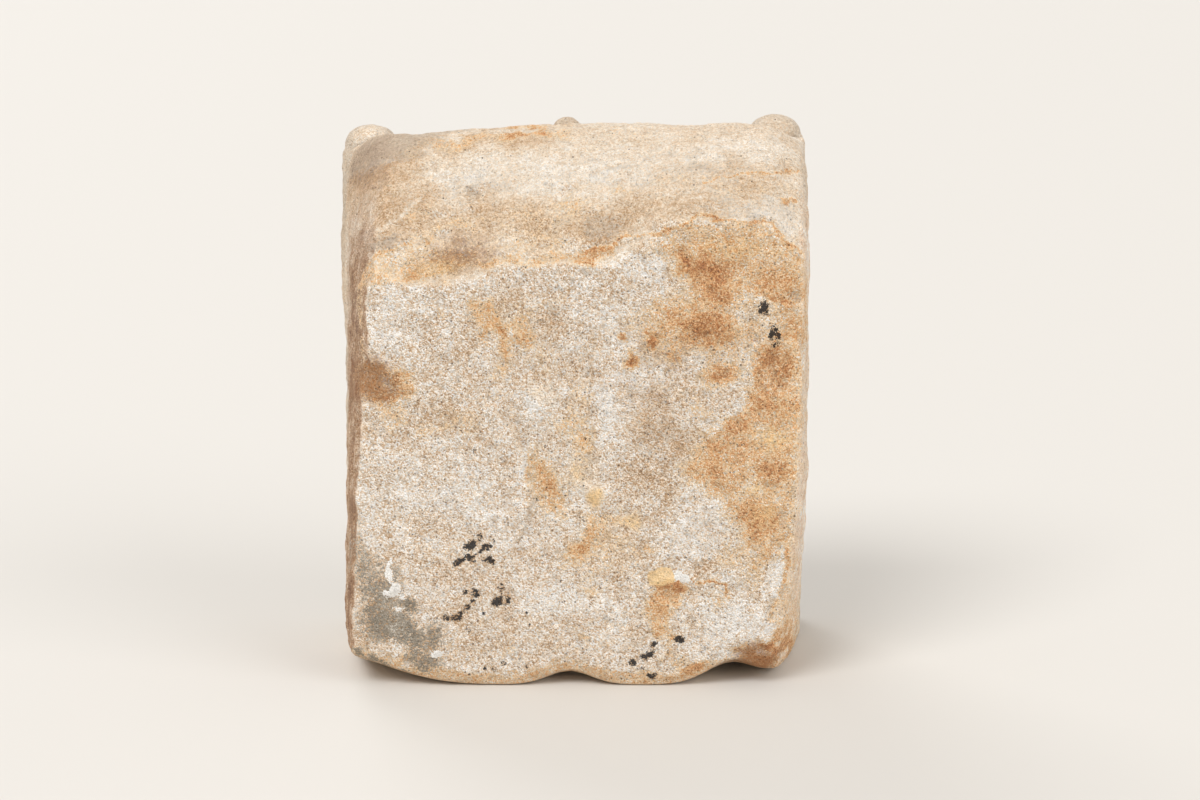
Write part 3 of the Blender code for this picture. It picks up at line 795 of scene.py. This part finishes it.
# Noises along the beds: how many times thinner across them, then as above
LAMINA = (15.0, 0.022, 4.0, 0.62)
HAIR = (34.0, 0.030, 3.0, 0.60)
STRIPE = (22.0, 0.090, 3.0, 0.55)
VEIN_PLACE = (0.31, 0.17, 0.23)

BUMP_DEPTH = 0.0014
SPECULAR = 0.25
FLOOR_ROUGHNESS = 0.8
FLOOR_HALF = 14.0

# Lights: the side that each comes from, its width in degrees and its strength
LIGHTS = {
    "key": ((0.9, 1.3, 1.76), 28.0, 1.62),
    "fill": ((-1.3, 1.0, 0.96), 40.0, 0.95),
    "front": ((0.8, -1.8, 1.46), 32.0, 0.77),
}
WORLD_STRENGTH = 0.66


class Recipe:
    """Adds nodes to a material; each method returns the output of the node that it adds."""

    def __init__(self, material):
        material.use_nodes = True
        self.tree = material.node_tree
        self.shader = self.tree.nodes["Principled BSDF"]

    def node(self, kind, inputs, **settings):
        """A node with those settings, each input a value or the output of another node."""
        made = self.tree.nodes.new(kind)
        for name, value in settings.items():
            setattr(made, name, value)
        for place, value in inputs.items():
            socket = made.inputs[place]
            if isinstance(value, bpy.types.NodeSocket):
                self.tree.links.new(value, socket)
            else:
                socket.default_value = value
        return made

    def field(self, name):
        """The values stored on the mesh under that name."""
        return self.node("ShaderNodeAttribute", {}, attribute_name=name).outputs["Fac"]

    def math(self, operation, first, second):
        return self.node("ShaderNodeMath", {0: first, 1: second}, operation=operation).outputs[0]

    def times(self, first, second):
        return self.math("MULTIPLY", first, second)

    def between(self, value, low, high):
        """value taken from low..high to 0..1, smoothly."""
        inputs = {"Value": value, "From Min": low, "From Max": high}
        return self.node("ShaderNodeMapRange", inputs, interpolation_type="SMOOTHSTEP").outputs["Result"]

    def scale(self, vector, factors):
        return self.node("ShaderNodeVectorMath", {0: vector, 1: factors}, operation="MULTIPLY").outputs[0]

    def noise(self, vector, size, detail, roughness):
        inputs = {"Vector": vector, "Scale": 1.0 / size, "Detail": detail, "Roughness": roughness}
        return self.node("ShaderNodeTexNoise", inputs).outputs["Fac"]

    def grains(self, vector, size):
        """Packed cells: distance from the cell's middle in cell sizes, and two random numbers a cell."""
        inputs = {"Vector": vector, "Scale": 1.0 / size, "Randomness": 1.0}
        cells = self.node("ShaderNodeTexVoronoi", inputs, feature="F1")
        drawn = self.node("ShaderNodeSeparateColor", {0: cells.outputs["Color"]})
        return cells.outputs["Distance"], drawn.outputs[0], drawn.outputs[1]

    def total(self, constant, *terms):
        """The constant plus each term's output times its weight."""
        value = constant
        for output, weight in terms:
            inputs = {0: output, 1: weight, 2: value}
            value = self.node("ShaderNodeMath", inputs, operation="MULTIPLY_ADD").outputs[0]
        return value

    def palette(self, value, stops):
        """The colour at value on a scale of stops, each a place from 0 to 1 and a colour."""
        made = self.node("ShaderNodeValToRGB", {0: value})
        elements = made.color_ramp.elements
        elements[0].position, elements[0].color = stops[0]
        elements[1].position, elements[1].color = stops[-1]
        for place, colour in stops[1:-1]:
            elements.new(place).color = colour
        return made.outputs[0]

    def mix(self, share, under, over):
        return self.node("ShaderNodeMix", {0: share, 6: under, 7: over}, data_type="RGBA").outputs[2]

    def wash(self, colour, share, strength, over):
        """The colour with another over it, where and as strongly as share and strength say."""
        return self.mix(self.times(share, strength), colour, over)


class Sandstone(Recipe):
    """The stone's noises and grains, and a method for each layer of its colour, from the bare stone up."""

    def __init__(self, material):
        super().__init__(material)
        place = self.node("ShaderNodeTexCoord", {}).outputs["Object"]
        axes = self.node("ShaderNodeSeparateXYZ", {0: place})
        along_beds = {0: axes.outputs[0], 1: self.field("bed"), 2: axes.outputs[2]}
        self.beds = self.node("ShaderNodeCombineXYZ", along_beds).outputs[0]
        elsewhere = self.node("ShaderNodeVectorMath", {0: place, 1: VEIN_PLACE}, operation="ADD").outputs[0]
        self.split = self.field("split")
        self.layered = self.math("SUBTRACT", 1.0, self.split)
        self.grain, self.grain_tone, self.grain_iron = self.grains(place, GRAIN)
        self.flake, self.flake_tone, self.flake_iron = self.grains(place, FLAKE)
        self.crumb, self.crumb_choice, self.crumb_dark = self.grains(place, CRUMB)
        self.speck, self.speck_choice, _ = self.grains(place, SPECK)
        self.fine = self.noise(place, *FINE)
        self.patch = self.noise(place, *PATCH)
        self.vein = self.noise(elsewhere, *VEIN)
        self.cloud = self.noise(place, *CLOUD)
        self.lamina = self.bedded_noise(*LAMINA)
        self.hair = self.bedded_noise(*HAIR)
        self.stripe = self.bedded_noise(*STRIPE)
        edge_grain = ((self.grain_tone, 0.45), (self.flake_tone, 0.25))
        self.loose = self.total(-1.25, *edge_grain, (self.fine, 0.8), (self.vein, 1.0))

    def bedded_noise(self, thinner, size, detail, roughness):
        return self.noise(self.scale(self.beds, (1.0, thinner, 1.0)), size, detail, roughness)

    def bare(self):
        """Whiter where it bloomed, tan where it took up dirt, in thin beds where it is cut across them."""
        bedded = self.total(1.45, (self.lamina, -1.5), (self.hair, -0.9), (self.stripe, -0.5))
        bedded = self.times(bedded, self.layered)
        grain = ((self.grain_tone, 0.92), (self.flake_tone, 0.30))
        mottle = self.total(-1.475, (self.patch, 1.1), (self.cloud, 0.6), *grain)
        mottle = self.times(mottle, self.total(1.0, (self.layered, -0.52)))
        stained = ((self.field("bloom"), 0.34), (self.field("tan"), -0.44))
        colour = self.palette(self.total(0.55, *stained, (mottle, 1.0), (bedded, 0.30)), STONE)
        return self.wash(colour, self.layered, 0.6, self.scale(colour, YELLOWER))

    def with_flanks(self, colour):
        """The flanks near the back, where the beds stand on edge: brown with painted shade on one side, pale
        with painted light on the other.
        """
        beds = ((self.lamina, 0.9), (self.hair, 0.3), (self.stripe, 0.8))
        edgewise = self.total(-1.72, *beds, (self.patch, 2.0), (self.grain_tone, 0.60))
        # The left palette is brown stain with painted shade, the right one pale stone with painted light
        right, left = self.palette(edgewise, RIGHT_FLANK_PALE_AND_PAINTED_LIGHT), self.palette(edgewise, LEFT_FLANK_BROWN_AND_PAINTED_SHADE)
        flank = self.mix(self.field("brown_painted_shade_side"), right, left)
        return self.wash(colour, self.between(self.field("flank"), 0.10, 0.80), 0.84, flank)

    def with_iron(self, colour):
        """One amount of iron everywhere, from the stains, their veins and the grain, faint to deep."""
        stained = ((self.field("ochre"), 0.90), (self.field("rust"), 0.32), (self.field("under"), 0.55))
        veined = ((self.field("bloom"), -0.30), (self.vein, 1.25), (self.cloud, 0.2))
        grain = ((self.grain_iron, 0.56), (self.flake_iron, 0.26))
        iron = self.total(-1.42, *stained, *veined, *grain)
        return self.wash(colour, self.between(iron, 0.0, 0.22), 0.95, self.palette(iron, IRON))

    def broken(self, name, grit, low, high):
        """A stain whose edge breaks up from patch to patch and from grain to grain."""
        field = self.field(name)
        share = self.between(self.total(0.0, (field, 1.0), (self.loose, grit)), low, high)
        return self.times(share, self.between(field, *FAINT_STAIN))

    def with_stain(self, colour, name):
        grit, low, high, strength, over = BROKEN[name]
        return self.wash(colour, self.broken(name, grit, low, high), strength, over)

    def with_soil(self, colour):
        grit, low, high, strength = SOIL
        soil = self.total(-0.95, (self.vein, 1.8), (self.fine, 0.7), (self.grain_tone, 0.4))
        return self.wash(colour, self.broken("soil", grit, low, high), strength, self.palette(soil, DIRT))

    def with_age_and_painted_shade(self, colour):
        """Weathered front and top edge, and painted shade darkening the recess and the grooves."""
        aged = self.mix(self.between(self.patch, 0.35, 0.65), AGED, GREY)
        colour = self.wash(colour, self.field("aged"), 0.50, aged)
        # Painted shade, darker deeper into the recess
        colour = self.wash(colour, self.field("hollow"), 0.30, paint(96, 88, 80))
        # Painted shade in the grooves
        return self.wash(colour, self.field("groove"), 0.42, paint(142, 116, 92))

    def with_grain(self, colour):
        """Each grain a little lighter or darker, with dark crumbs and specks between them, partly dark grains
        and partly painted shadow in pits.
        """
        rougher = self.total(0.6, (self.split, 0.4))
        dark = self.math("SUBTRACT", 1.0, self.crumb_dark)
        dark = self.times(self.times(dark, dark), self.times(rougher, -0.20))
        paler = self.math("SUBTRACT", self.flake_iron, 0.5)
        # Edges a little lighter: painted highlight on the arrises
        edges = ((self.layered, 0.03), (self.field("arris_highlight"), 0.07))
        light = self.total(1.02, (dark, 1.0), (paler, 0.14), *edges)
        even = self.node("ShaderNodeCombineXYZ", {0: light, 1: light, 2: light}).outputs[0]
        colour = self.scale(colour, even)
        crumbs = self.times(self.between(self.crumb, 0.34, 0.22), self.between(self.crumb_choice, 0.74, 0.78))
        colour = self.wash(colour, self.times(crumbs, rougher), 0.55, DARK_GRAIN_AND_PIT_SHADOW)
        specks = self.times(self.between(self.speck, 0.13, 0.07), self.between(self.speck_choice, 0.62, 0.64))
        return self.wash(colour, specks, 0.85, DARK_GRAIN_AND_PIT_SHADOW)

    def finish(self, colour):
        """The colour, the roughness and the fine relief on the shader."""
        grain = ((self.grain, -0.45), (self.flake, -0.55))
        height = self.total(0.0, *grain, (self.fine, 1.2), (self.lamina, 0.6), (self.patch, 1.5))
        bump = self.node("ShaderNodeBump", {"Strength": 1.0, "Distance": BUMP_DEPTH, "Height": height})
        roughness = self.total(0.80, (self.grain_iron, 0.14))
        self.tree.links.new(colour, self.shader.inputs["Base Color"])
        self.tree.links.new(bump.outputs[0], self.shader.inputs["Normal"])
        self.tree.links.new(roughness, self.shader.inputs["Roughness"])
        self.shader.inputs["Specular IOR Level"].default_value = SPECULAR


def sandstone():
    material = bpy.data.materials.new("sandstone_surface")
    stone = Sandstone(material)
    colour = stone.with_iron(stone.with_flanks(stone.bare()))
    for name in ("straw", "brown", "grey"):
        colour = stone.with_stain(colour, name)
    colour = stone.with_soil(stone.with_grain(stone.with_age_and_painted_shade(colour)))
    for name in ("lime", "lichen"):
        colour = stone.with_stain(colour, name)
    stone.finish(colour)
    return material


def floor():
    material = bpy.data.materials.new("pale_floor")
    shader = Recipe(material).shader
    shader.inputs["Base Color"].default_value = FLOOR
    shader.inputs["Roughness"].default_value = FLOOR_ROUGHNESS
    mesh = bpy.data.meshes.new("floor")
    half = FLOOR_HALF
    corners = [(-half, -half, 0), (half, -half, 0), (half, half, 0), (-half, half, 0)]
    mesh.from_pydata(corners, [], [(0, 1, 2, 3)])
    mesh.materials.append(material)
    plane = bpy.data.objects.new("floor", mesh)
    bpy.context.scene.collection.objects.link(plane)


def soft_light(name, place, angle, strength):
    """Even light that comes from the side of that place, as wide as that angle in degrees."""
    lamp = bpy.data.lights.new(name, "SUN")
    lamp.angle = math.radians(angle)
    lamp.energy = strength
    thing = bpy.data.objects.new(name, lamp)
    thing.location = place
    tilt = math.atan2(math.hypot(place[0], place[1]), place[2])
    thing.rotation_euler = (tilt, 0.0, math.atan2(place[0], -place[1]))
    bpy.context.scene.collection.objects.link(thing)


def studio():
    """A pale world and soft lights: two from the camera's side and one on the carved front."""
    world = bpy.data.worlds.new("studio")
    world.use_nodes = True
    background = world.node_tree.nodes["Background"]
    background.inputs["Color"].default_value = WORLD
    background.inputs["Strength"].default_value = WORLD_STRENGTH
    bpy.context.scene.world = world
    for name, (place, angle, strength) in LIGHTS.items():
        soft_light(name, place, angle, strength)
    bpy.context.scene.view_settings.view_transform = "Standard"


def photo_camera():
    """The camera at the photo's place, level from side to side, looking at the split back."""
    lens = bpy.data.cameras.new("camera")
    lens.sensor_width = SENSOR
    lens.lens = LENS
    lens.clip_start = CLIP_START
    camera = bpy.data.objects.new("camera", lens)
    camera.location = EYE
    camera.rotation_euler = (math.radians(90.0 - LOOK_DOWN), 0.0, math.pi)
    bpy.context.scene.collection.objects.link(camera)
    bpy.context.scene.camera = camera


block = carve()
stain_all(block)
block.data.materials.clear()
block.data.materials.append(sandstone())
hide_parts("stone_niche")
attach(block, "root")
floor()
studio()
photo_camera()
